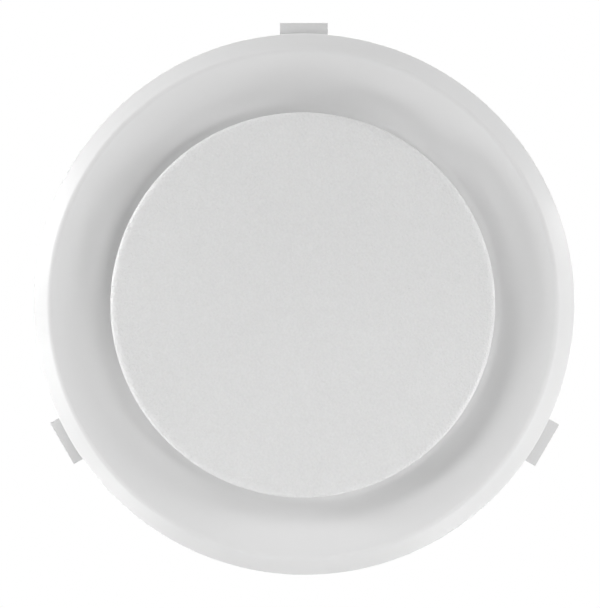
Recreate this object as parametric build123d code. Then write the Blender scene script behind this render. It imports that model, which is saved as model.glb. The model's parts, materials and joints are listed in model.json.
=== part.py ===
from build123d import *
from math import asin, atan2, ceil, cos, degrees, pi, radians, sin, sqrt
import os

# A round ceiling vent for a 150 mm duct: a dished housing with a duct neck, a centre disc that
# screws in and out of a three-armed bridge, and three sprung clips that grip the ceiling board.
# Millimetres. Z = 0 is the face of the ceiling, +Z points up into the duct, the room is below.
# At rest the disc is fully open and the clips are shut.

# Housing
collar_diameter = 148.4      # outside of the spigot that the duct slides over
collar_length = 30.0         # spigot above its shoulder
collar_chamfer = 1.0         # lead-in at the spigot's end
collar_step = 1.4            # the neck below the shoulder is this much bigger in radius
wall = 2.0                   # moulded wall of the housing
neck_rise = 20.0             # shoulder above the back of the valve seat
flange_width = 26.9          # neck to the rim of the flange
bevel_width = 6.5            # rim to the crest
crest_drop = 6.0             # crest's corner below the ceiling, before it is rounded
crest_round = 2.4
rim_edge = 1.2               # straight edge of the rim
lip_width = 2.0              # flat back of the rim, which rests on the ceiling
seat_inset = 0.6             # inner end of the sloping wall, in from the outside of the neck
seat_rise = 2.0              # seat above the ceiling's face
ledge_width = 7.6            # seat inside the neck, which carries the bridge's pillars
round_steps = 2              # straight stretches in a round edge

# Centre disc
disc_overlap = 6.7           # disc over the edge of the air opening
disc_drop = 7.5              # face of the disc below the ceiling, fully open
disc_plate = 2.2
disc_rim = 3.0               # height of the disc's edge
disc_rim_wall = 2.0
disc_edge_round = 1.4
disc_rib_count = 9
disc_rib_wall = 1.5
boss_height = 4.0            # screw bosses behind the disc
boss_wall = 2.2
closing_gap = 0.5            # left between the disc and its seat when shut

# Stem and bridge
stem_radius = 5.0            # over the thread
stem_running_gap = 0.08
stem_foot_wall = 4.0         # foot outside its screw circle
stem_foot_thickness = 3.0
stem_screw_circle = 10.2     # radius of the circle of screws
stem_tail = 2.5              # stem above its retaining clip
journal_step = 0.8           # the stem's end, which the washer turns on, is thinner by this much
stem_chamfer = 0.8
hub_wall = 4.4
hub_height = 15.0
bridge_gap = 1.0             # closed disc's screws to the bridge
arm_blade = 3.0              # thickness of the bridge's arms
arm_rise = 11.0              # height of the arms at the hub
foot_thickness = 3.0
foot_wall = 1.4              # bridge's feet around their screws
pillar_wall = 2.5
foot_wall_gap = 0.3          # bridge's feet to the neck
washer_wall = 4.0
washer_thickness = 1.2
washer_bore_gap = 0.15
groove_depth = 1.0
ring_thickness = 1.0         # retaining clip
ring_wall = 3.0
ring_mouth = 5.0             # open side of the retaining clip
seating_gap = 0.1            # play between stacked pieces

# Self-tapping screws
screw_core = 1.2
screw_head_radius = 2.6
screw_head_height = 1.8
screw_pilot_gap = 0.1        # core to its hole in a boss
screw_clear_gap = 0.4        # core to its hole in the piece held
screw_bite = 3.6             # length of screw in its boss
screw_tip_gap = 0.6          # hole deeper than the screw

# Ceiling clips
clip_angles = (-90.0, 30.0, 150.0)
clip_overhang = 4.1          # tips past the rim of the flange
clip_gap = 3.4               # feet above the ceiling's face with no board
clip_width = 18.1
clip_thickness = 2.4
clip_foot = 8.1              # flat end that presses on the board
clip_bend = 3.0
pin_standoff = 8.9           # pin from the neck
pin_height = 17.0            # pin above the ceiling's face
pin_radius = 1.5
pin_running_gap = 0.06
pin_fixed_gap = 0.03
pin_tail = 0.8               # pin past the brackets at each end
barrel_wall = 2.1            # clip's barrels around the pin
ear_wall = 2.4               # brackets beside each clip
ear_side_gap = 0.35
ear_margin = 2.6             # bracket around the pin
stop_distance = 7.0          # web that stops the clip, along the clip from its pin
stop_wall = 2.0
stop_gap = 0.2

# Torsion springs of the clips
spring_wire = 0.9
spring_turns = 3
spring_turn_gap = 0.12
spring_pin_gap = 0.4
spring_side_gap = 0.5        # coil to the clip's barrels
spring_rest_angle = 20.0     # fixed leg, above level
spring_leg = 11.0            # leg along the clip
spring_seat_gap = 0.1
spring_step = 45.0           # turn of the coil between two sections of the wire

# Worked out: radii from the axis
collar_radius = collar_diameter / 2
neck_radius = collar_radius + collar_step
neck_bore = neck_radius - wall
flange_radius = neck_radius + flange_width
crest_radius = flange_radius - bevel_width
seat_radius = neck_radius - seat_inset
opening_radius = neck_bore - ledge_width
disc_radius = opening_radius + disc_overlap
stem_foot_radius = stem_screw_circle + stem_foot_wall
journal_radius = stem_radius - journal_step
groove_radius = journal_radius - groove_depth
hub_radius = stem_radius + stem_running_gap + hub_wall
pillar_radius = screw_core + screw_pilot_gap + pillar_wall
foot_radius = screw_core + screw_clear_gap + foot_wall
foot_circle = neck_bore - foot_wall_gap - foot_radius
tip_radius = flange_radius + clip_overhang
pin_circle = neck_radius + pin_standoff
barrel_radius = pin_radius + pin_running_gap + barrel_wall

# Worked out: heights
disc_face = -disc_drop
disc_back = disc_face + disc_plate
rim_back = disc_face + disc_rim
travel = seat_rise - rim_back - closing_gap
stem_foot_base = disc_back + boss_height
stem_foot_top = stem_foot_base + stem_foot_thickness
seat_back = seat_rise + wall
bridge_base = stem_foot_top + screw_head_height + travel + bridge_gap
hub_top = bridge_base + hub_height
washer_base = hub_top + seating_gap
ring_base = washer_base + washer_thickness + seating_gap
stem_top = ring_base + ring_thickness + stem_tail
shoulder = seat_back + neck_rise
collar_top = shoulder + collar_length

# Worked out: the clip in its own radial plane, out from the axis and up
pin_place = Vector(pin_circle, pin_height)
knee = Vector(tip_radius - clip_foot, clip_gap + clip_thickness / 2)
tip = Vector(tip_radius, clip_gap + clip_thickness / 2)
clip_slope = degrees(atan2(knee.Y - pin_place.Y, knee.X - pin_place.X))
clip_along = Vector(cos(radians(clip_slope)), sin(radians(clip_slope)))
clip_below = Vector(clip_along.Y, -clip_along.X)
ear_inside = clip_width / 2 + ear_side_gap
ear_outside = ear_inside + ear_wall
ear_radius = pin_radius + pin_fixed_gap + ear_margin
coil_radius = pin_radius + spring_pin_gap + spring_wire / 2
coil_pitch = spring_wire + spring_turn_gap


def revolved(profile):
    """A solid of revolution from a face whose points are (radius, height)."""
    return revolve(Plane.XZ * profile, Axis.Z)


def upright(outline, width):
    """A plate in the radial plane, as thick as width, half on each side of that plane."""
    return extrude(Plane.XZ * outline, width / 2, both=True)


def ring_of(piece, count, first=0.0):
    """Copies of a piece around the axis."""
    return [Rot(Z=first + 360 * i / count) * piece for i in range(count)]


def post(radius, base, top, out=0.0):
    """A round post that stands at a distance from the axis."""
    return Pos(out, 0, base) * Cylinder(radius, top - base, align=(Align.CENTER, Align.CENTER, Align.MIN))


def dish_middle(radius):
    """Height of the middle of the sloping wall at a radius."""
    share = (radius - seat_radius) / (crest_radius - seat_radius)
    return seat_rise - share * (seat_rise + crest_drop) + wall / 2


def rounding(before, corner, after, radius):
    """What is cut off a corner to round it, in a few straight stretches so that its facets stay few."""
    bend = FilletPolyline(before, corner, after, radius=radius).edges()[1]
    stretches = [bend @ (i / round_steps) for i in range(round_steps + 1)]
    return make_face(Polyline(corner, *stretches, close=True))


def screw(out, head_base, length):
    """Screw that points down, its head resting at head_base."""
    head = post(screw_head_radius, head_base, head_base + screw_head_height, out)
    return head + post(screw_core, head_base - length, head_base, out)


def dish():
    """Flange, crest, sloping wall and valve seat: one wall, its back as high as the wall above its front."""
    rim = (flange_radius, -rim_edge)
    crest = (crest_radius, -crest_drop)
    seat = (seat_radius, seat_rise)
    profile = make_face(Polyline(
        (flange_radius, 0), rim, crest, seat, (opening_radius, seat_rise), (opening_radius, seat_back),
        (seat_radius, seat_back), (crest_radius, wall - crest_drop), (flange_radius - lip_width, 0), close=True))
    return revolved(profile - rounding(rim, crest, seat, crest_round))


def neck():
    """Duct neck, stepped in at the shoulder where the duct stops."""
    bore = collar_radius - wall
    return revolved(make_face(Polyline(
        (neck_radius, seat_back - wall / 2), (neck_radius, shoulder), (collar_radius, shoulder),
        (collar_radius, collar_top - collar_chamfer), (collar_radius - collar_chamfer, collar_top),
        (bore, collar_top), (bore, shoulder - wall), (neck_bore, shoulder - wall),
        (neck_bore, seat_back - wall / 2), close=True)))


def clip_bracket():
    """Two ears for the pin and the web between them that stops the clip."""
    inner = sqrt((neck_radius - wall / 2) ** 2 - ear_outside ** 2)
    under_clip = pin_place + clip_below * (clip_thickness / 2 + stop_gap)
    web_near = under_clip + clip_along * (stop_distance - stop_wall)
    web_far = under_clip + clip_along * stop_distance
    seat_middle = seat_back - wall / 2
    ear_outline = Polyline(
        (inner, seat_middle), (seat_radius, seat_middle), (web_far.X, dish_middle(web_far.X)),
        (web_far.X, web_far.Y), (pin_circle + ear_radius, pin_height), (pin_circle, pin_height + ear_radius),
        (inner, pin_height + ear_radius), close=True)
    ear_face = make_face(ear_outline) + Pos(pin_circle, pin_height) * Circle(ear_radius)
    ear = Plane.XZ * (ear_face - Pos(pin_circle, pin_height) * Circle(pin_radius + pin_fixed_gap))
    ears = [extrude(Pos(0, side, 0) * ear, ear_wall) for side in (ear_outside, -ear_inside)]
    web_outline = Polyline(
        (web_near.X, dish_middle(web_near.X)), (web_far.X, dish_middle(web_far.X)),
        (web_far.X, web_far.Y), (web_near.X, web_near.Y), close=True)
    return upright(make_face(web_outline), 2 * ear_inside + ear_wall) + ears


def housing():
    body = dish() + neck()
    body += [Rot(Z=angle) * clip_bracket() for angle in clip_angles]
    body += ring_of(post(pillar_radius, seat_back - wall / 2, bridge_base, foot_circle), 3, 90)
    pilot = screw_core + screw_pilot_gap
    depth = screw_bite + screw_tip_gap
    return body - ring_of(post(pilot, bridge_base - depth, bridge_base, foot_circle), 3, 90)


def bridge():
    """Hub and three blade-like arms, thin to the air and deep along it, with feet on the pillars."""
    rise_end = foot_circle - foot_radius - screw_head_radius
    blade = make_face(Polyline(
        (stem_radius + hub_wall / 2, bridge_base), (foot_circle, bridge_base),
        (foot_circle, bridge_base + foot_thickness), (rise_end, bridge_base + foot_thickness),
        (stem_radius + hub_wall / 2, bridge_base + arm_rise), close=True))
    foot = post(foot_radius, bridge_base, bridge_base + foot_thickness, foot_circle)
    arm = upright(blade, arm_blade) + foot
    arm -= post(screw_core + screw_clear_gap, bridge_base, bridge_base + foot_thickness, foot_circle)
    spider = post(hub_radius, bridge_base, hub_top) + ring_of(arm, 3, 90)
    return spider - post(stem_radius + stem_running_gap, bridge_base, hub_top)


def stem():
    """Lead screw with a round foot and a grooved end; its thread is within the plain outline."""
    rod = post(journal_radius, stem_foot_base, stem_top)
    rod = chamfer(rod.edges().group_by(Axis.Z)[-1], stem_chamfer)
    rod += post(stem_radius, stem_foot_base, washer_base - seating_gap)
    rod += post(stem_foot_radius, stem_foot_base, stem_foot_top)
    rod -= ring_of(post(screw_core + screw_clear_gap, stem_foot_base, stem_foot_top, stem_screw_circle), 3)
    groove_base = ring_base - seating_gap / 2
    groove_top = ring_base + ring_thickness + seating_gap / 2
    groove = post(journal_radius, groove_base, groove_top) - post(groove_radius, groove_base, groove_top)
    return rod - groove


def stop_washer():
    """Loose washer on the stem's end that stops on the hub when the disc is fully open."""
    bore = journal_radius + washer_bore_gap
    washer = post(bore + washer_wall, washer_base, washer_base + washer_thickness)
    return washer - post(bore, washer_base, washer_base + washer_thickness)


def stem_clip():
    """Open retaining ring in the stem's groove."""
    bore = groove_radius + seating_gap / 2
    ring = post(bore + ring_wall, ring_base, ring_base + ring_thickness)
    ring -= post(bore, ring_base, ring_base + ring_thickness)
    mouth = Box(bore + ring_wall, ring_mouth, ring_thickness, align=(Align.MIN, Align.CENTER, Align.MIN))
    return ring - Pos(0, 0, ring_base) * mouth


def centre_disc():
    """Flat face with a rounded edge; behind it a rim, ribs level with the rim and screw bosses."""
    face_middle = (0, disc_face)
    corner = (disc_radius, disc_face)
    edge = (disc_radius, rim_back)
    rim_bore = disc_radius - disc_rim_wall
    profile = make_face(Polyline(
        face_middle, corner, edge, (rim_bore, rim_back), (rim_bore, disc_back), (0, disc_back), close=True))
    body = revolved(profile - rounding(face_middle, corner, edge, disc_edge_round))
    middle = disc_face + disc_plate / 2
    rib_start = stem_foot_radius + disc_rib_wall
    rib_length = disc_radius - disc_rim_wall / 2 - rib_start
    rib = Box(rib_length, disc_rib_wall, rim_back - middle, align=(Align.MIN, Align.CENTER, Align.MIN))
    body += ring_of(Pos(rib_start, 0, middle) * rib, disc_rib_count)
    pilot = screw_core + screw_pilot_gap
    body += ring_of(post(pilot + boss_wall, middle, stem_foot_base, stem_screw_circle), 3)
    depth = screw_bite + screw_tip_gap
    return body - ring_of(post(pilot, stem_foot_base - depth, stem_foot_base, stem_screw_circle), 3)


def clip_arm():
    """Dog-leg clip: two barrels on the pin, a sloping plate and a flat foot."""
    line = FilletPolyline(pin_place, knee, tip, radius=clip_bend)
    side = trace(line, clip_thickness) + Pos(pin_circle, pin_height) * Circle(barrel_radius)
    bore = Rot(X=90) * Cylinder(pin_radius + pin_running_gap, clip_width)
    room = 2 * (max(barrel_radius, coil_radius + spring_wire / 2) + spring_side_gap)
    slot = Rot(Y=-clip_slope) * Box(room, coil_length() + 2 * spring_side_gap, room)
    return upright(side, clip_width) - Pos(pin_circle, 0, pin_height) * (bore + slot)


def spring_sweep():
    """Angle that the coil winds through between its two legs, in degrees."""
    contact = clip_thickness / 2 + spring_wire / 2 + spring_seat_gap
    lean = degrees(asin((coil_radius - contact) / spring_leg))
    start = 90 - spring_rest_angle
    end = clip_slope - lean + 90
    return 360 * spring_turns + start - end


def coil_length():
    return coil_pitch * spring_sweep() / 360 + spring_wire


def clip_spring():
    """Torsion spring on the pin: one leg leans on the neck and the other presses the clip."""
    turn = radians(spring_sweep())
    height = coil_pitch * turn / (2 * pi)
    climb = coil_pitch / (2 * pi * coil_radius)
    start = radians(90 - spring_rest_angle)
    wall_side = neck_radius + spring_wire / 2 + spring_seat_gap
    fixed_leg = (pin_circle + coil_radius * cos(start) - wall_side) / cos(radians(spring_rest_angle))
    count = ceil(spring_sweep() / spring_step)
    places = []
    for i in range(count + 1):
        angle = turn * i / count
        place = Vector(coil_radius * cos(angle), coil_radius * sin(angle), height * i / count)
        places.append((place, Vector(-sin(angle), cos(angle), climb)))
    first, first_way = places[0]
    last, last_way = places[-1]
    places = [(first - first_way * fixed_leg, first_way), *places, (last + last_way * spring_leg, last_way)]
    section = RegularPolygon(spring_wire / 2, 6)
    wire = [Plane(place, x_dir=(0, 0, 1), z_dir=way) * section for place, way in places]
    coil_plane = Plane(
        (pin_circle, -height / 2, pin_height), x_dir=(cos(start), 0, sin(start)), z_dir=(0, 1, 0))
    return coil_plane * loft(wire, ruled=True)


def clip_pin():
    """Plain pin, pressed into the brackets and a little longer than they are wide."""
    return Pos(pin_circle, 0, pin_height) * Rot(X=90) * Cylinder(pin_radius, 2 * (ear_outside + pin_tail))


pieces = {
    "housing": housing(),
    "bridge": bridge(),
    "bridge_screws": Compound(
        ring_of(screw(foot_circle, bridge_base + foot_thickness, screw_bite + foot_thickness), 3, 90)),
    "stem": stem(),
    "stop_washer": stop_washer(),
    "stem_clip": stem_clip(),
    "disc": centre_disc(),
    "disc_screws": Compound(
        ring_of(screw(stem_screw_circle, stem_foot_top, screw_bite + stem_foot_thickness), 3)),
}
for number, angle in enumerate(clip_angles, 1):
    pieces[f"clip_arm_{number}"] = Rot(Z=angle) * clip_arm()
    pieces[f"clip_pin_{number}"] = Rot(Z=angle) * clip_pin()
    pieces[f"clip_spring_{number}"] = Rot(Z=angle) * clip_spring()

os.makedirs("parts", exist_ok=True)
for node, piece in pieces.items():
    export_step(piece, f"parts/{node}.step")
print(f"flange {2 * flange_radius:.1f} mm, disc {2 * disc_radius:.1f} mm, travel {travel:.1f} mm")
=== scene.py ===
# %% [markdown]
# # A round ceiling vent, seen from the room
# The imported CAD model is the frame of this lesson: it says where every piece of the vent is and
# which body carries it when the disc is screwed in or a clip swings up. Here the same pieces get
# smooth rounds, threads, wire springs and finishes. +Z points up into the duct, the room is below,
# and every length is in metres.

# %% Load the frame
import json
from math import asin, atan2, cos, degrees, hypot, pi, radians, sin, tan, tau

import bmesh
import bpy
from mathutils import Matrix, Vector


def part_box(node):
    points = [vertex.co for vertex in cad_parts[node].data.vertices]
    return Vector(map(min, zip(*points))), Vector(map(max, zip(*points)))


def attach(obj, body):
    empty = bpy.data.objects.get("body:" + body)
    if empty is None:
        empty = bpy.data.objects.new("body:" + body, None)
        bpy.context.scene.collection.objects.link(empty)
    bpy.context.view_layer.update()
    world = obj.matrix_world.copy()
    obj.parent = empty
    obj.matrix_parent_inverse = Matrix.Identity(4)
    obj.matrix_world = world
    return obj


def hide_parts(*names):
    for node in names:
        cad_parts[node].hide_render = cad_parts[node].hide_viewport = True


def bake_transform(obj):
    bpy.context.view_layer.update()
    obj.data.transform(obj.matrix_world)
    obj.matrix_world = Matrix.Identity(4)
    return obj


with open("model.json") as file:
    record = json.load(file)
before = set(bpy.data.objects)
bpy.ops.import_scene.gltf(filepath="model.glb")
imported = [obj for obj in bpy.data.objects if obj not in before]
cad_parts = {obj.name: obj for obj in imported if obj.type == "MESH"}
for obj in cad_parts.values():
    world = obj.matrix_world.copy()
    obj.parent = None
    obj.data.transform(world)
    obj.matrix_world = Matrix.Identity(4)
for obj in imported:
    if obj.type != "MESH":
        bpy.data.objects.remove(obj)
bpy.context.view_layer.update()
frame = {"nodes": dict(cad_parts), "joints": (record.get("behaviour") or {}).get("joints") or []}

print("CAD pieces:", ", ".join(sorted(frame["nodes"])))

# %% [markdown]
# ## Measuring the frame
# Round pieces are best described by a radius, so one helper finds how far a CAD piece reaches from
# the vent's axis. Heights come straight from a piece's box. The sizes could be typed in again, but
# read from the frame they stay right when the CAD model changes. Only what the frame can't tell,
# such as a wall's thickness, is written down as a number.

# %% Sizes from the frame
mm = 0.001


def reach(node):
    """How far a CAD piece reaches from the vent's axis."""
    return max(hypot(v.co.x, v.co.y) for v in frame["nodes"][node].data.vertices)


def base(node):
    """The height of a CAD piece's lowest point."""
    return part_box(node)[0].z


def top(node):
    """The height of a CAD piece's highest point."""
    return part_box(node)[1].z


flange_radius = reach("housing")
disc_radius = reach("disc")
joints = {joint["name"]: joint for joint in frame["joints"]}
clip_names = sorted(name for name in joints if name.startswith("clip_"))
wall = 2.0 * mm
print(f"flange {flange_radius / mm:.1f} mm, disc {disc_radius / mm:.1f} mm, clips {len(clip_names)}")

# %% [markdown]
# ## Noise for the finishes
# A finish is a small tree of nodes, and noise is in all of them. Painted textures would need
# unwrapped meshes; noise worked out from the place on a piece needs none and never shows a seam.
# Its values crowd near a half, so a second helper stretches them over the range that is wanted.

# %% Noise helpers
noise_low, noise_high = 0.3, 0.7     # nearly all values of a noise lie between these


def noise(tree, scale, detail, place):
    """A noise on the given coordinates; its scale is a number or another node's output."""
    node = tree.nodes.new("ShaderNodeTexNoise")
    if isinstance(scale, float):
        node.inputs["Scale"].default_value = scale
    else:
        tree.links.new(scale, node.inputs["Scale"])
    node.inputs["Detail"].default_value = detail
    tree.links.new(place, node.inputs["Vector"])
    return node.outputs["Fac"]


def spread(tree, value, low, high):
    """Stretches a noise value over a wider range."""
    node = tree.nodes.new("ShaderNodeMapRange")
    node.inputs["From Min"].default_value = noise_low
    node.inputs["From Max"].default_value = noise_high
    node.inputs["To Min"].default_value = low
    node.inputs["To Max"].default_value = high
    tree.links.new(value, node.inputs["Value"])
    return node.outputs["Result"]


print(f"noise from {noise_low} to {noise_high} is stretched")

# %% [markdown]
# ## One skin for all the moulded pieces
# Moulded plastic is never quite flat: the steel of the mould leaves a fine grain, and the colour
# drifts a little over a hand's width. Each plastic could have nodes of its own for this, but more
# than one needs them, so they are one node group with named inputs. It reads Object coordinates,
# because every piece has its place in its mesh, and so the grain has the same size everywhere.

# %% Node group for a moulded skin
drift_scale = 14.0     # patches of colour, per metre
sheen_scale = 90.0     # patches of sheen, per metre
sheen_range = 0.04     # how far they push the roughness up and down

skin = bpy.data.node_groups.new("Moulded skin", "ShaderNodeTree")
for socket in ("Grain", "Gloss"):
    skin.interface.new_socket(socket, in_out="INPUT", socket_type="NodeSocketFloat")
for socket in ("Height", "Drift", "Roughness"):
    skin.interface.new_socket(socket, in_out="OUTPUT", socket_type="NodeSocketFloat")
skin_in = skin.nodes.new("NodeGroupInput").outputs
skin_out = skin.nodes.new("NodeGroupOutput").inputs
skin_place = skin.nodes.new("ShaderNodeTexCoord").outputs["Object"]

skin.links.new(noise(skin, skin_in["Grain"], 2.0, skin_place), skin_out["Height"])
drift = noise(skin, drift_scale, 3.0, skin_place)
skin.links.new(spread(skin, drift, 0.0, 1.0), skin_out["Drift"])
sheen = noise(skin, sheen_scale, 4.0, skin_place)
roughness = skin.nodes.new("ShaderNodeMath")
roughness.operation = "ADD"
skin.links.new(skin_in["Gloss"], roughness.inputs[0])
skin.links.new(spread(skin, sheen, -sheen_range, sheen_range), roughness.inputs[1])
skin.links.new(roughness.outputs["Value"], skin_out["Roughness"])
print("group", skin.name, "with", len(skin.nodes), "nodes")

# %% [markdown]
# ## White plastic, three ways
# The housing is smooth white plastic, the disc has a coarser orange-peel texture that shows in the
# photograph, and the clips are a tougher, slightly duller plastic. Three separate materials would
# say the same thing three times, so one function makes them from the group, and only the numbers
# differ. Less light comes out of the pits of a grain than off its tops, so the same noise that
# bends the surface also darkens its colour a touch: this is painted shade in the pits.

# %% Plastic materials
plastic_ior = 1.46


def grey_mix(tree, factor, tint, shade):
    """A colour that goes from one colour to another."""
    mix = tree.nodes.new("ShaderNodeMix")
    mix.data_type = "RGBA"
    mix.inputs["A"].default_value = (*tint, 1.0)
    mix.inputs["B"].default_value = (*shade, 1.0)
    tree.links.new(factor, mix.inputs["Factor"])
    return mix.outputs["Result"]


def plastic(name, tint, shade, grain, depth, gloss, painted_pit_shade):
    """White moulded plastic, whose grey drifts between tint and shade.

    The grain is so many bumps to a metre and so deep; pits is how bright the painted shade
    leaves its lowest parts.
    """
    material = bpy.data.materials.new(name)
    material.use_nodes = True
    tree = material.node_tree
    shader = tree.nodes["Principled BSDF"]
    shader.inputs["IOR"].default_value = plastic_ior
    surface = tree.nodes.new("ShaderNodeGroup")
    surface.node_tree = skin
    surface.inputs["Grain"].default_value = grain
    surface.inputs["Gloss"].default_value = gloss
    # Painted shade: where the grain is low, its colour is darkened.
    pit_shaded_colour = tree.nodes.new("ShaderNodeVectorMath")
    pit_shaded_colour.operation = "SCALE"
    colour = grey_mix(tree, surface.outputs["Drift"], [tint] * 3, [shade] * 3)
    tree.links.new(colour, pit_shaded_colour.inputs["Vector"])
    tree.links.new(spread(tree, surface.outputs["Height"], painted_pit_shade, 1.0), pit_shaded_colour.inputs["Scale"])
    tree.links.new(pit_shaded_colour.outputs["Vector"], shader.inputs["Base Color"])
    bump = tree.nodes.new("ShaderNodeBump")
    bump.inputs["Strength"].default_value = 1.0
    bump.inputs["Distance"].default_value = depth
    tree.links.new(surface.outputs["Height"], bump.inputs["Height"])
    tree.links.new(bump.outputs["Normal"], shader.inputs["Normal"])
    tree.links.new(surface.outputs["Roughness"], shader.inputs["Roughness"])
    return material


housing_white = plastic(
    "Housing white", 0.80, 0.785, grain=1400.0, depth=0.004 * mm, gloss=0.42, painted_pit_shade=1.0)
disc_white = plastic(
    "Disc white, orange peel", 0.83, 0.815, grain=1300.0, depth=0.4 * mm, gloss=0.45, painted_pit_shade=0.95)
clip_white = plastic(
    "Clip white", 0.76, 0.735, grain=1100.0, depth=0.006 * mm, gloss=0.5, painted_pit_shade=0.98)
print("plastics:", housing_white.name, "|", disc_white.name, "|", clip_white.name)

# %% [markdown]
# ## Zinc and spring wire
# The screws, pins, washer and retaining ring are zinc plated: a grey metal with a cloudy sheen.
# Spring wire is drawn through a die, which leaves streaks on it. An anisotropic shader could show
# these, but on a wire this thin a noise that is squeezed in one direction does as well. Both metals
# take their roughness from noise, and keep Metallic at a plain one.

# %% Metal materials
cloud_scale = 350.0     # clouds in the sheen, per metre


def metal(name, tint, shade, squeeze, low, high):
    """Bare metal with a roughness that clouds between low and high; squeeze flattens the clouds."""
    material = bpy.data.materials.new(name)
    material.use_nodes = True
    tree = material.node_tree
    shader = tree.nodes["Principled BSDF"]
    shader.inputs["Metallic"].default_value = 1.0
    mapping = tree.nodes.new("ShaderNodeMapping")
    mapping.inputs["Scale"].default_value = (1.0, 1.0, squeeze)
    place = tree.nodes.new("ShaderNodeTexCoord").outputs["Object"]
    tree.links.new(place, mapping.inputs["Vector"])
    cloud = noise(tree, cloud_scale, 4.0, mapping.outputs["Vector"])
    colour = grey_mix(tree, spread(tree, cloud, 0.0, 1.0), tint, shade)
    tree.links.new(colour, shader.inputs["Base Color"])
    tree.links.new(spread(tree, cloud, low, high), shader.inputs["Roughness"])
    return material


zinc = metal("Zinc plate", (0.62, 0.63, 0.64), (0.52, 0.53, 0.55), squeeze=1.0, low=0.28, high=0.42)
drawn_wire = metal(
    "Drawn wire", (0.56, 0.56, 0.57), (0.42, 0.42, 0.43), squeeze=5.0, low=0.2, high=0.38)
print("metals:", zinc.name, "|", drawn_wire.name)

# %% [markdown]
# ## Turned and rounded pieces
# Most of the vent is turned: an outline of radius and height, spun round the axis. A lathe-like
# modifier would do it too, but with bmesh the corners can be found again. Each corner of the
# outline becomes a ring of edges, and bevelling that ring gives the round that the mould would have.

# %% Spin and round
turn_steps = 180
merge_gap = 0.001 * mm      # points nearer than this are one
ring_width = 0.01 * mm      # points this near to a corner's radius and height are on its ring


def turned(bm, outline, closed=True, steps=turn_steps):
    """Spins an outline of (radius, height) points round the vent's axis, into bm."""
    verts = [bm.verts.new((radius, 0, height)) for radius, height in outline]
    ends = verts[1:] + verts[:1] if closed else verts[1:]
    edges = [bm.edges.new(pair) for pair in zip(verts, ends)]
    bmesh.ops.spin(
        bm, geom=verts + edges, cent=(0, 0, 0), axis=(0, 0, 1), angle=tau, steps=steps,
        use_merge=True)
    bmesh.ops.remove_doubles(bm, verts=bm.verts, dist=merge_gap)
    bmesh.ops.recalc_face_normals(bm, faces=bm.faces)


def round_edges(bm, edges, width, segments):
    """Rounds the given edges."""
    bmesh.ops.bevel(
        bm, geom=edges, offset=width, offset_type="OFFSET", segments=segments, profile=0.5,
        affect="EDGES", clamp_overlap=True, material=-1)


def ring(bm, radius, height):
    """The edges of a spun corner: both ends are at its radius and height."""
    def on_ring(vert):
        out = hypot(vert.co.x, vert.co.y)
        return abs(out - radius) < ring_width and abs(vert.co.z - height) < ring_width
    return [edge for edge in bm.edges if all(on_ring(vert) for vert in edge.verts)]


def sharp_edges(bm, angle=30.0):
    """The edges where two faces meet at more than the given angle, in degrees."""
    limit = radians(angle)
    return [edge for edge in bm.edges if edge.is_manifold and edge.calc_face_angle() > limit]


print("turned pieces have", turn_steps, "steps to a turn")

# %% [markdown]
# ## The dish
# Flange, crest, sloping wall and valve seat are one thin moulded wall. Both of its sides could be
# drawn, but then each change is made twice, so only the side that faces the room is. It is spun,
# its crest is bevelled into a soft round, and solidify gives the wall its thickness towards the
# duct.

# %% Housing: dish
rim_edge = 1.2 * mm
rim_round = 0.4 * mm
bevel_width = 6.5 * mm
crest_depth = 6.0 * mm
crest_round = 2.4 * mm
seat_radius = 75.0 * mm
seat_height = 2.0 * mm
seat_round = 1.0 * mm
opening_radius = 66.0 * mm

rim = Vector((flange_radius, -rim_edge))
crest = Vector((flange_radius - bevel_width, -crest_depth))
seat = Vector((seat_radius, seat_height))
shell = bmesh.new()
turned(shell, [(flange_radius, 0), rim, crest, seat, (opening_radius, seat_height)], closed=False)
crest_turn = (rim - crest).angle(crest - seat)
round_edges(shell, ring(shell, *crest), crest_round * tan(crest_turn / 2), segments=12)
round_edges(shell, ring(shell, *rim), rim_round, segments=4)
round_edges(shell, ring(shell, *seat), seat_round, segments=4)
bmesh.ops.solidify(shell, geom=shell.faces, thickness=wall)
print(f"crest turns {degrees(crest_turn):.0f} degrees, dish {len(shell.faces)} faces")

# %% [markdown]
# ## The neck
# The duct slides over the collar of the neck, which stands on the back of the dish. Inside and
# outside step in at different heights, so solidify can't make it: its whole section is drawn as a
# closed outline and spun. Its foot is half a wall deep in the dish, where no one sees it.

# %% Housing: neck
neck_radius = 75.6 * mm
collar_radius = 74.2 * mm
collar_chamfer = 1.0 * mm
neck_round = 0.5 * mm
shoulder = 24.0 * mm
collar_top = top("housing")
collar_bore = collar_radius - wall
neck_bore = neck_radius - wall
neck_base = seat_height + wall / 2

neck = bmesh.new()
turned(neck, [
    (neck_radius, neck_base), (neck_radius, shoulder), (collar_radius, shoulder),
    (collar_radius, collar_top - collar_chamfer), (collar_radius - collar_chamfer, collar_top),
    (collar_bore, collar_top), (collar_bore, shoulder - wall),
    (neck_bore, shoulder - wall), (neck_bore, neck_base)])
for corner in ((neck_radius, shoulder), (collar_bore, collar_top)):
    round_edges(neck, ring(neck, *corner), neck_round, segments=3)
print(f"neck to {collar_top / mm:.0f} mm, {len(neck.faces)} faces")

# %% [markdown]
# ## Plates and posts
# Behind the dish are flat plates and round posts. A plate could be drawn corner by corner, but the
# hull of a circle and a few points is just the outline of an ear round a pin, so a hull makes it.
# Posts are cones with two equal ends. Whatever belongs to one moulding is joined into one mesh.

# %% Plate, post and join
post_steps = 40


def hull_plate(bm, outline, low, high):
    """A plate between two sides; its outline is the hull of (out, up) points in the radial plane."""
    verts = [bm.verts.new((out, side, up)) for out, up in outline for side in (low, high)]
    made = bmesh.ops.convex_hull(bm, input=verts)
    bmesh.ops.delete(bm, geom=made["geom_interior"], context="VERTS")


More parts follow.
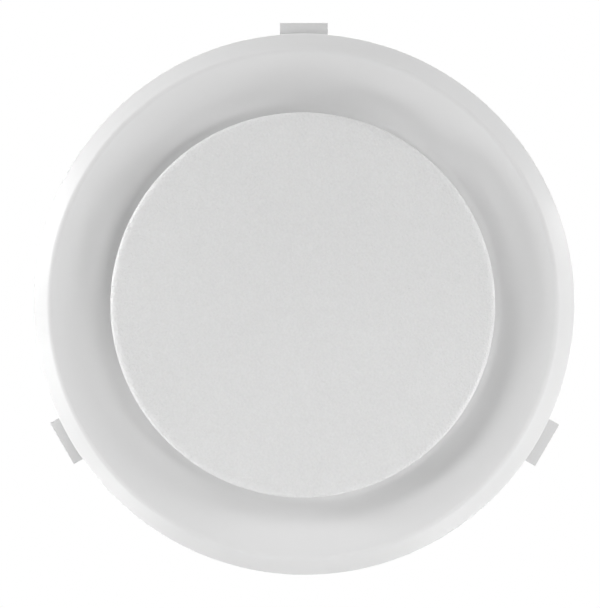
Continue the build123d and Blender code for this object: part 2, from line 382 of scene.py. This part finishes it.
def post(bm, radius, low, high, place=(0.0, 0.0), steps=post_steps):
    """A round post between two heights."""
    middle = Matrix.Translation((*place, (low + high) / 2))
    bmesh.ops.create_cone(
        bm, cap_ends=True, segments=steps, radius1=radius, radius2=radius, depth=high - low,
        matrix=middle)


def around(count, first, radius):
    """Places spread round the axis, from a first angle on."""
    turns = [first + tau * i / count for i in range(count)]
    return [(radius * cos(turn), radius * sin(turn)) for turn in turns]


def join(bm, other):
    """Adds another bmesh to bm."""
    mesh = bpy.data.meshes.new("joined")
    other.to_mesh(mesh)
    other.free()
    bm.from_mesh(mesh)
    bpy.data.meshes.remove(mesh)


join(shell, neck)
print("dish and neck joined:", len(shell.faces), "faces")

# %% [markdown]
# ## Clip brackets
# Behind the flange each clip hangs between two ears, on a pin, with a web that stops it just short
# of the ceiling. The frame knows the pin, because the clip's joint turns about it, and the clip's
# tip. The web lies under the clip's arm, so its place is worked out from the line of that arm.

# %% Where a clip hangs
pin_out = hypot(*joints[clip_names[0]]["pos_m"][:2])
pin_height = joints[clip_names[0]]["pos_m"][2]
pin_radius = 1.5 * mm
clip_width = 18.1 * mm
clip_thickness = 2.4 * mm
foot_length = 8.1 * mm
foot_height = 4.6 * mm
stop_gap = 0.2 * mm
web_start, web_end = 5.0 * mm, 7.0 * mm     # along the arm, from the pin

hinge = Vector((pin_out, pin_height))
clip_tip = -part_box("clip_arm_1")[0].y
knee = Vector((clip_tip - foot_length, foot_height))
clip_along = (knee - hinge).normalized()
clip_below = Vector((clip_along.y, -clip_along.x))
under_clip = hinge + clip_below * (clip_thickness / 2 + stop_gap)
web_near = under_clip + clip_along * web_start
web_far = under_clip + clip_along * web_end
print(f"clip pins {pin_out / mm:.1f} mm out and {pin_height / mm:.1f} mm up")

# %% [markdown]
# ## One bracket, three times
# The three brackets are alike. Each could be modelled where it stands, but a plate is simplest to
# write in the plane of the X axis. So one function makes a bracket there and turns it to its clip:
# two ears that wrap round the pin and run down to the wall, and the web between them.

# %% Housing: brackets
ear_gap = 0.35 * mm         # between a clip and each ear
ear_wall = 2.4 * mm
ear_margin = 2.63 * mm      # plastic round the pin
ear_steps = 32
bracket_round = 0.3 * mm
flat_angle = 0.5            # facets that meet at less than this are one flat face, in degrees
ear_inside = clip_width / 2 + ear_gap
ear_outside = ear_inside + ear_wall
ear_round = pin_radius + ear_margin


def dish_middle(radius):
    """Height of the middle of the sloping wall at a radius."""
    slope = (crest.y - seat.y) / (crest.x - seat.x)
    return seat.y + slope * (radius - seat.x) + wall / 2 * hypot(1, slope)


def clip_bracket(azimuth):
    """Two ears and the stop web of one clip."""
    bm = bmesh.new()
    root = (neck_radius ** 2 - ear_outside ** 2) ** 0.5 - wall / 2
    turns = [tau * i / ear_steps for i in range(ear_steps)]
    head = [(pin_out + ear_round * cos(turn), pin_height + ear_round * sin(turn)) for turn in turns]
    web_foot = (web_far.x, dish_middle(web_far.x))
    ear = head + [(root, neck_base), (root, pin_height + ear_round), web_foot, tuple(web_far)]
    hull_plate(bm, ear, ear_inside, ear_outside)
    hull_plate(bm, ear, -ear_outside, -ear_inside)
    web = [(web_near.x, dish_middle(web_near.x)), web_foot, tuple(web_far), tuple(web_near)]
    hull_plate(bm, web, -ear_inside - ear_wall / 2, ear_inside + ear_wall / 2)
    bmesh.ops.dissolve_limit(bm, angle_limit=radians(flat_angle), verts=bm.verts, edges=bm.edges)
    round_edges(bm, sharp_edges(bm), bracket_round, segments=2)
    turn = Matrix.Rotation(azimuth, 3, "Z")
    bmesh.ops.rotate(bm, verts=bm.verts, cent=(0, 0, 0), matrix=turn)
    return bm


def azimuth_of(joint):
    """The angle round the vent's axis at which a joint lies."""
    return atan2(joint["pos_m"][1], joint["pos_m"][0])


for name in clip_names:
    join(shell, clip_bracket(azimuth_of(joints[name])))
print(len(clip_names), "brackets joined:", len(shell.faces), "faces")

# %% [markdown]
# ## The housing in one piece
# Three pillars inside the neck carry the bridge, one under each of its screws. Then the housing is
# whole, and a last function finishes it: normals, smooth shading with crisp corners, its material,
# and the CAD body that it rides on. This could be written out for each piece, but all the pieces of
# the vent need the same, so they all go through the same function.

# %% Housing: pillars and finish
pillar_radius = 3.8 * mm
screw_head = 2.6 * mm
smooth_angle = 32.0


def finish_piece(name, bm, material, body, stands_for):
    """Turns a bmesh into a smooth piece that rides on a CAD body and stands for a CAD piece."""
    bmesh.ops.recalc_face_normals(bm, faces=bm.faces)
    mesh = bpy.data.meshes.new(name)
    bm.to_mesh(mesh)
    bm.free()
    mesh.shade_smooth()
    mesh.set_sharp_from_angle(angle=radians(smooth_angle))
    mesh.materials.append(material)
    piece = bpy.data.objects.new(name, mesh)
    bpy.context.scene.collection.objects.link(piece)
    if body:
        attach(piece, body)
    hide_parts(stands_for)
    print(f"{name}: {len(mesh.polygons)} faces")
    return piece


pillar_places = around(3, radians(90), reach("bridge_screws") - screw_head)
for place in pillar_places:
    post(shell, pillar_radius, neck_base, base("bridge"), place)
finish_piece("housing_moulding", shell, housing_white, "housing", "housing")

# %% [markdown]
# ## The centre disc
# A flat plate with a low rim. Its front edge is soft, and it catches the thin bright line that runs
# round the disc in the photograph. A bevel would round it evenly, but the real edge turns away
# slowly at first and then fast, so a quarter of an ellipse is written into the outline.

# %% Disc: plate
edge_width = 3.0 * mm
edge_depth = 1.4 * mm
edge_steps = 12
plate_thickness = 2.2 * mm
rim_height = 3.0 * mm
rim_wall = 2.0 * mm
rim_back_round = 0.3 * mm

disc_face = base("disc")
disc_back = disc_face + plate_thickness
rim_back = disc_face + rim_height
rim_bore = disc_radius - rim_wall


def soft_edge(turn):
    """A point of the front edge, which starts in the face and ends in the rim's side."""
    out = disc_radius - edge_width * (1 - sin(turn))
    return out, disc_face + edge_depth * (1 - cos(turn))


front_edge = [soft_edge(pi / 2 * i / edge_steps) for i in range(edge_steps + 1)]
plate = bmesh.new()
turned(plate, [
    (0, disc_face), *front_edge, (disc_radius, rim_back), (rim_bore, rim_back),
    (rim_bore, disc_back), (0, disc_back)], closed=False)
round_edges(plate, ring(plate, disc_radius, rim_back), rim_back_round, segments=3)
print(f"disc plate {plate_thickness / mm:.1f} mm thick, {len(plate.faces)} faces")

# %% [markdown]
# ## Behind the disc
# Thin ribs keep the disc flat, and three bosses take the screws that hold the stem's foot. They show
# only from above. Cutting them into the plate's mesh would give slivers, so they are plain bars and
# posts that reach into the plate and the rim, as parts of one moulding.

# %% Disc: ribs and bosses
rib_count = 9
rib_width = 1.5 * mm
rib_clear = 1.5 * mm
boss_radius = 3.5 * mm
screw_circle = 10.2 * mm
stem_foot_base = base("stem")
stem_foot_radius = reach("stem")

rib_start = stem_foot_radius + rib_clear
rib_length = rim_bore - rib_start + wall
rib_size = Matrix.Diagonal((rib_length, rib_width, rim_back - disc_back, 1.0))
rib_place = Matrix.Translation(((rib_start + rim_bore) / 2, 0, (rim_back + disc_back) / 2))
for i in range(rib_count):
    turn = Matrix.Rotation(tau * i / rib_count, 4, "Z")
    bmesh.ops.create_cube(plate, size=1.0, matrix=turn @ rib_place @ rib_size)
for place in around(3, 0.0, screw_circle):
    post(plate, boss_radius, disc_back - wall / 2, stem_foot_base, place)
finish_piece("centre_disc", plate, disc_white, "disc_and_stem", "disc")

# %% [markdown]
# ## The lead screw
# Turning the disc screws it up into the bridge, so the stem has a coarse thread: three millimetres
# to a turn, the same lead that couples the disc's turn to its travel. A thread could be faked with
# bump, but here it shows against the light. One tooth is a short outline; spinning it while it
# climbs makes the whole helix, and two cuts trim it to length.

# %% Thread of the stem
lead = 3.0 * mm
thread_radius = 5.0 * mm
thread_core = 3.9 * mm
thread_steps = 48
foot_thickness = 3.0 * mm
foot_overlap = 0.5 * mm
washer_gap = 0.1 * mm
stem_foot_top = stem_foot_base + foot_thickness
thread_top = base("stop_washer") - washer_gap


def trim(bm, height, above):
    """Cuts off what lies above or below a height and closes the cut."""
    bmesh.ops.bisect_plane(
        bm, geom=bm.verts[:] + bm.edges[:] + bm.faces[:], dist=merge_gap, plane_co=(0, 0, height),
        plane_no=(0, 0, 1), clear_outer=above, clear_inner=not above)
    bmesh.ops.holes_fill(bm, edges=[edge for edge in bm.edges if edge.is_boundary], sides=0)


tooth = [     # radius, and share of the lead
    (thread_core, 0.0), (thread_core, 0.25), (thread_radius, 0.5), (thread_radius, 0.75),
    (thread_core, 1.0)]
thread_start = stem_foot_base - lead
thread_turns = int((thread_top - stem_foot_base) / lead) + 3
screw_stem = bmesh.new()
verts = [screw_stem.verts.new((radius, 0, thread_start + share * lead)) for radius, share in tooth]
edges = [screw_stem.edges.new(pair) for pair in zip(verts, verts[1:])]
bmesh.ops.spin(
    screw_stem, geom=verts + edges, cent=(0, 0, 0), axis=(0, 0, 1), dvec=(0, 0, lead / thread_steps),
    angle=tau * thread_turns, steps=thread_steps * thread_turns, use_merge=False)
bmesh.ops.remove_doubles(screw_stem, verts=screw_stem.verts, dist=merge_gap)
trim(screw_stem, thread_top, above=True)
trim(screw_stem, stem_foot_top - foot_overlap, above=False)
print(f"thread of {thread_turns} turns before the cuts, {len(screw_stem.faces)} faces")

# %% [markdown]
# ## Journal and foot of the stem
# Above its thread the stem is a plain journal for the washer, with a groove for the retaining ring.
# Its foot is a round flange, which is screwed to the disc. The journal has many steps and is turned
# from its outline; the foot is only a post with rounded edges.

# %% Stem
journal_radius = 4.2 * mm
journal_steps = 48
core_clear = 0.2 * mm
groove_radius = 3.2 * mm
groove_gap = 0.05 * mm
tip_chamfer = 0.8 * mm
foot_round = 0.4 * mm
foot_steps = 96

groove_base = base("stem_clip") - groove_gap
groove_top = top("stem_clip") + groove_gap
stem_top = top("stem")
journal = bmesh.new()
turned(journal, [
    (0, thread_top - lead), (thread_core - core_clear, thread_top - lead),
    (journal_radius, thread_top), (journal_radius, groove_base), (groove_radius, groove_base),
    (groove_radius, groove_top), (journal_radius, groove_top),
    (journal_radius, stem_top - tip_chamfer), (journal_radius - tip_chamfer, stem_top),
    (0, stem_top)], closed=False, steps=journal_steps)
foot = bmesh.new()
post(foot, stem_foot_radius, stem_foot_base, stem_foot_top, steps=foot_steps)
round_edges(foot, sharp_edges(foot), foot_round, segments=3)
join(screw_stem, journal)
join(screw_stem, foot)
finish_piece("stem_screw", screw_stem, clip_white, "disc_and_stem", "stem")

# %% [markdown]
# ## Small CAD pieces with softened edges
# The bridge, clips, pins, washer and retaining ring already have their true form in CAD, and only
# their razor-sharp edges give them away. Making them anew would gain nothing. A copy of each mesh
# is merged, its flat facets are dissolved into whole faces, and every sharp edge gets a small
# round. The copy then replaces the CAD piece.

# %% Softened copies
corner_angle = 35.0


def softened(node, name, material, body, width):
    """A copy of a CAD piece with a small round on each sharp edge."""
    bm = bmesh.new()
    bm.from_mesh(frame["nodes"][node].data)
    bmesh.ops.remove_doubles(bm, verts=bm.verts, dist=merge_gap)
    bmesh.ops.dissolve_limit(bm, angle_limit=radians(flat_angle), verts=bm.verts, edges=bm.edges)
    round_edges(bm, sharp_edges(bm, corner_angle), width, segments=2)
    finish_piece(name, bm, material, body, node)


softened("bridge", "bridge_spider", housing_white, "housing", width=0.35 * mm)
softened("stop_washer", "washer", zinc, "travel_washer", width=0.15 * mm)
softened("stem_clip", "retaining_ring", zinc, "disc_and_stem", width=0.12 * mm)
for number in range(1, len(clip_names) + 1):
    arm, pin, clip = f"clip_arm_{number}", f"clip_pin_{number}", f"clip_{number}"
    softened(arm, f"{clip}_arm", clip_white, clip, width=0.12 * mm)
    softened(pin, f"{clip}_pin", zinc, "housing", width=0.2 * mm)

# %% [markdown]
# ## A cross recess
# A self-tapping screw has a cross in its head. A boolean could cut it, but its edges are hard to
# round afterwards. Here the cross is a loop of twelve points. A loop that is pulled along and closed
# at its far end makes the recess, and the same helper makes the side of the head and, later on, the
# legs of the springs.

# %% Cross and pull
cross_arm = 1.35 * mm
cross_half = 0.28 * mm
cross_depth = 0.9 * mm


def cross_outline(arm, half):
    """The twelve corners of a cross, in order."""
    quarter = [(arm, -half), (arm, half), (half, half)]
    turns = [(1, 0, 0, 1), (0, -1, 1, 0), (-1, 0, 0, -1), (0, 1, -1, 0)]
    return [(a * x + b * y, c * x + d * y) for a, b, c, d in turns for x, y in quarter]


def only(kind, geom):
    """The verts or the edges of what an operator made."""
    return [part for part in geom if isinstance(part, kind)]


def pull(bm, loop, way):
    """Pulls a closed loop of edges out and closes its far end."""
    made = bmesh.ops.extrude_edge_only(bm, edges=loop)["geom"]
    bmesh.ops.translate(bm, verts=only(bmesh.types.BMVert, made), vec=way)
    bmesh.ops.holes_fill(bm, edges=only(bmesh.types.BMEdge, made), sides=0)


print("cross of", len(cross_outline(cross_arm, cross_half)), "points")

# %% [markdown]
# ## Screws
# The head is a low dome. It could be turned, but then its top has no flat face for the cross. So a
# ring and the cross are bridged into the top of the head, the cross is pulled down into a recess
# with straight walls, the ring is pulled down into the head's side, and its upper edge is rounded.

# %% Screws
head_height = 1.8 * mm
head_round = 0.8 * mm
head_steps = 36
shank_radius = 1.2 * mm
shank_steps = 24


def cross_screw(place, head_base, length):
    """One screw that points down, with its head resting at head_base."""
    high = head_base + head_height
    bm = bmesh.new()
    outer = bmesh.ops.create_circle(bm, cap_ends=False, segments=head_steps, radius=screw_head)
    bmesh.ops.translate(bm, verts=outer["verts"], vec=(0, 0, high))
    rim_loop = bm.edges[:]
    corners = [bm.verts.new((x, y, high)) for x, y in cross_outline(cross_arm, cross_half)]
    cross_loop = [bm.edges.new(pair) for pair in zip(corners, corners[1:] + corners[:1])]
    bmesh.ops.bridge_loops(bm, edges=rim_loop + cross_loop)
    pull(bm, cross_loop, (0, 0, -cross_depth))
    pull(bm, rim_loop, (0, 0, -head_height))
    round_edges(bm, rim_loop, head_round, segments=5)
    post(bm, shank_radius, head_base - length, head_base, steps=shank_steps)
    bmesh.ops.translate(bm, verts=bm.verts, vec=(*place, 0))
    return bm


def screw_set(name, node, places, head_base, body):
    """All the screws of one CAD piece."""
    bm = bmesh.new()
    for place in places:
        join(bm, cross_screw(place, head_base, head_base - base(node)))
    finish_piece(name, bm, zinc, body, node)


bridge_heads = top("bridge_screws") - head_height
screw_set("bridge_fixings", "bridge_screws", pillar_places, bridge_heads, "housing")
disc_places = around(3, 0.0, screw_circle)
screw_set("disc_fixings", "disc_screws", disc_places, stem_foot_top, "disc_and_stem")

# %% [markdown]
# ## Torsion springs
# Each clip has a wire spring on its pin: one leg leans on the neck and the other presses the clip
# down. A curve with a bevel could make the wire too, but its turns would need points of their own.
# A small circle, spun round the pin while it creeps along it, makes the coil in one go. The angle
# that it winds through follows from where the two legs have to lie.

# %% The coil of a spring
wire = 0.9 * mm
wire_sides = 12
coil_gap = 0.4 * mm
turn_gap = 0.12 * mm
seat_gap = 0.1 * mm
coil_turns = 3
coil_steps = 28
leg = 11.0 * mm
rest_angle = radians(20.0)     # lean of the leg that rests on the neck

coil_radius = pin_radius + coil_gap + wire / 2
coil_pitch = wire + turn_gap
coil_start = pi / 2 - rest_angle
clip_slope = atan2(clip_along.y, clip_along.x)
clip_lean = asin((coil_radius - (clip_thickness / 2 + wire / 2 + seat_gap)) / leg)
coil_sweep = coil_turns * tau + coil_start - (clip_slope - clip_lean + pi / 2)
coil_height = coil_pitch * coil_sweep / tau


def wound_coil(bm):
    """Winds the coil round the Y axis and gives the edges of its two end rings."""
    circle = bmesh.ops.create_circle(bm, cap_ends=False, segments=wire_sides, radius=wire / 2)
    first = bm.edges[:]
    section = Matrix.Rotation(-coil_start, 4, "Y") @ Matrix.Translation((coil_radius, 0, 0))
    low = Matrix.Translation((0, -coil_height / 2, 0))
    bmesh.ops.transform(bm, matrix=low @ section, verts=circle["verts"])
    steps = int(coil_steps * coil_sweep / tau)
    spun = bmesh.ops.spin(
        bm, geom=circle["verts"] + first, cent=(0, 0, 0), axis=(0, 1, 0),
        dvec=(0, coil_height / steps, 0), angle=coil_sweep, steps=steps, use_merge=False)
    return first, only(bmesh.types.BMEdge, spun["geom_last"])


print(f"coils of {coil_sweep / tau:.2f} turns, {coil_height / mm:.1f} mm long")

# %% [markdown]
# ## The legs
# Pulling the two end rings out makes the legs. On the real vent the coil winds up when a clip
# swings: the end at the neck keeps still, the end on the clip goes with it, and the turns between
# share the twist. Here the springs stay as they are drawn.

# %% Springs
neck_side = neck_radius + wire / 2 + seat_gap
neck_leg = (pin_out + coil_radius * cos(coil_start) - neck_side) / cos(rest_angle)
leg_climb = coil_pitch / (tau * coil_radius)


def torsion_spring(name, joint, node):
    """A coil on the pin with its two legs."""
    bm = bmesh.new()
    first, last = wound_coil(bm)
    for loop, angle, length in ((first, coil_start, -neck_leg), (last, coil_start - coil_sweep, leg)):
        pull(bm, loop, Vector((sin(angle), leg_climb, -cos(angle))) * length)
    place = Matrix.Translation(joint["pos_m"]) @ Matrix.Rotation(azimuth_of(joint), 4, "Z")
    bmesh.ops.transform(bm, matrix=place, verts=bm.verts)
    piece = finish_piece(name, bm, drawn_wire, None, node)
    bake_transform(piece)


for number, name in enumerate(clip_names, 1):
    clip = f"clip_{number}"
    torsion_spring(f"{clip}_spring", joints[name], f"clip_spring_{number}")

# %% [markdown]
# ## A white room
# The photograph is a catalogue picture: a white vent on pure white. A bright world would give that
# too, but it would flood the vent with light. So what the camera sees directly or in a reflection
# is white, while the vent is lit by lamps and only a faint glow of the world. The Light Path node
# tells the two apart. The world and the floor both need it, so one function sets it up in a tree.

# %% World
white = (1.0, 1.0, 1.0, 1.0)
ambient = 0.16


def glow(tree, socket, hidden, shown):
    """Drives a strength by what looks at it.

    Sight, reflections and clear pieces get the strength shown; light on its way gets the hidden one.
    """
    path = tree.nodes.new("ShaderNodeLightPath")
    looked_at = path.outputs["Is Camera Ray"]
    for ray in ("Is Glossy Ray", "Is Transmission Ray"):
        either = tree.nodes.new("ShaderNodeMath")
        either.operation = "MAXIMUM"
        tree.links.new(looked_at, either.inputs[0])
        tree.links.new(path.outputs[ray], either.inputs[1])
        looked_at = either.outputs["Value"]
    level = tree.nodes.new("ShaderNodeMapRange")
    level.inputs["To Min"].default_value = hidden
    level.inputs["To Max"].default_value = shown
    tree.links.new(looked_at, level.inputs["Value"])
    tree.links.new(level.outputs["Result"], socket)


world = bpy.data.worlds.new("White studio")
bpy.context.scene.world = world
world.use_nodes = True
background = world.node_tree.nodes["Background"]
background.inputs["Color"].default_value = white
glow(world.node_tree, background.inputs["Strength"], ambient, 1.0)
print("world", world.name, "lights at", ambient)

# %% [markdown]
# ## The floor
# The vent hangs in a ceiling, so the floor is a room's height below it, behind the camera of the
# photograph. It is seen only from other sides. A floor with a plain pale colour would look grey
# there, so it glows a little under white where it is seen, and that still leaves room for a shadow.

# %% Floor
floor_height = -2.4
floor_half = 40.0
floor_glow = 0.8
pale = bpy.data.materials.new("Pale floor")
pale.use_nodes = True
pale_shader = pale.node_tree.nodes["Principled BSDF"]
pale_shader.inputs["Base Color"].default_value = (0.9, 0.9, 0.9, 1.0)
pale_shader.inputs["Roughness"].default_value = 0.8
pale_shader.inputs["Emission Color"].default_value = white
glow(pale.node_tree, pale_shader.inputs["Emission Strength"], 0.0, floor_glow)


def stage_piece(name, bm):
    """An object of the studio, which is no part of the vent."""
    mesh = bpy.data.meshes.new(name)
    bm.to_mesh(mesh)
    bm.free()
    piece = bpy.data.objects.new(name, mesh)
    bpy.context.scene.collection.objects.link(piece)
    return piece


floor_form = bmesh.new()
floor_place = Matrix.Translation((0, 0, floor_height))
bmesh.ops.create_grid(floor_form, x_segments=1, y_segments=1, size=floor_half, matrix=floor_place)
floor = stage_piece("Floor", floor_form)
floor.data.materials.append(pale)
print("floor", -floor_height, "m below the ceiling")

# %% [markdown]
# ## A flag in place of the ceiling
# In a room the ceiling board keeps the light of the room off the neck. A real board would be in the
# picture and hide the vent from many sides, so a flat ring in the ceiling's plane takes its place:
# photographers call it a flag. No camera sees it and it reflects nothing, it only casts a shadow.
# Its hole is wider than the clips, so that their tips stay in the light as in the photograph.

# %% Flag
flag_hole = 0.13
flag_edge = 1.2
flag_steps = 96
flag_form = bmesh.new()
turned(flag_form, [(flag_hole, 0.0), (flag_edge, 0.0)], closed=False, steps=flag_steps)
flag = stage_piece("Flag", flag_form)
flag.visible_camera = False
flag.visible_diffuse = False
flag.visible_glossy = False
flag.visible_transmission = False
print(f"flag with a hole of {2 * flag_hole / mm:.0f} mm")

# %% [markdown]
# ## Soft boxes
# Soft lamps stand round the face of the vent, and most of them shine across it at a flat angle, so
# that the sloping wall and the crest show as bands of light and shade. One large lamp would be
# simpler, but it would wash these bands out. Each lamp is named by where it stands as the camera
# sees it. Three small ones stand close, where the light falls off over the disc as it does in the
# photograph, and three stand behind the ceiling, for the neck and the clips.

# %% Soft boxes
def soft_box(name, turn, lift, distance, size, strength):
    """A round lamp that looks at the vent.

    Seen by the camera, turn is anticlockwise from the right and lift is towards it, in degrees.
    """
    turn, lift = radians(turn), radians(lift)
    way = Vector((cos(lift) * cos(turn), -cos(lift) * sin(turn), -sin(lift)))
    data = bpy.data.lights.new(name, "AREA")
    data.shape = "DISK"
    data.size = size
    data.energy = strength * pi * distance ** 2
    lamp = bpy.data.objects.new(name, data)
    aimed = way.to_track_quat("Z", "Y").to_matrix().to_4x4()
    lamp.matrix_world = Matrix.Translation(way * distance) @ aimed
    lamp.visible_camera = False
    bpy.context.scene.collection.objects.link(lamp)


lamps = [     # name, turn, lift, distance, size, strength
    ("Left key", 165, 5, 0.9, 0.16, 1.05),
    ("Lower left", 225, 5, 0.9, 0.16, 0.48),
    ("Lower right", 300, 11, 0.9, 0.16, 0.50),
    ("Close left", 195, 14, 0.42, 0.08, 0.56),
    ("Close low", 270, 26, 0.42, 0.12, 0.34),
    ("Close right", 330, 26, 0.42, 0.12, 0.36),
    ("Right", 15, 9, 1.6, 0.5, 1.00),
    ("Right fill", 0, 45, 1.6, 0.6, 0.36),
    ("Upper right", 60, 25, 1.6, 0.6, 0.19),
    ("Upper left", 120, 25, 1.6, 0.6, 0.52),
    ("Left fill", 150, 25, 1.6, 0.6, 0.61),
    ("Front low", 315, 68, 1.6, 0.7, 0.46),
    ("Behind top", 90, -43, 1.6, 0.6, 1.20),
    ("Behind left", 210, -43, 1.6, 0.6, 1.20),
    ("Behind right", 340, -43, 1.6, 0.6, 0.85),
]
for lamp in lamps:
    soft_box(*lamp)
print("soft boxes:", ", ".join(lamp[0] for lamp in lamps))

# %% [markdown]
# ## The camera
# The photograph looks straight up the vent's axis through a long lens. Its flange fills most of the
# frame, a little right of the middle. The disc is nearer to the lens than the rim, and in the
# picture it sits a touch left and low of the rim's centre: the camera stood slightly up and to the
# right. Turning the camera by hand until it fits would be slow, so its place and lens are worked
# out from where the rim lies in the picture.

# %% Camera
image_width, image_height = 600, 608
rim_pixels = 270.7                    # radius of the flange in the photograph
rim_across, rim_down = 303.2, 304.7   # its middle, from the left and from the top
stand_right, stand_up = 0.06, 0.035   # how far off the axis the camera stands, for each metre away
camera_distance = 1.6
sensor = 36.0
pixel = flange_radius / rim_pixels

camera_data = bpy.data.cameras.new("Camera")
camera_data.sensor_fit = "HORIZONTAL"
camera_data.sensor_width = sensor
camera_data.lens = sensor * camera_distance / (image_width * pixel)
camera = bpy.data.objects.new("Camera", camera_data)
bpy.context.scene.collection.objects.link(camera)
bpy.context.scene.camera = camera
way = Vector((stand_right, -stand_up, -1.0)).normalized()
right = Vector((0, -1, 0)).cross(way).normalized()
up = way.cross(right)
aim_right = (image_width / 2 - rim_across) * pixel
aim_up = (rim_down - image_height / 2) * pixel
aim = right * aim_right + up * aim_up
facing = Matrix((right, up, way)).transposed().to_4x4()
camera.matrix_world = Matrix.Translation(aim + way * camera_distance) @ facing
bpy.context.scene.view_settings.view_transform = "Standard"
print(f"lens {camera_data.lens:.0f} mm at {camera_distance} m, {pixel / mm:.3f} mm to a pixel")
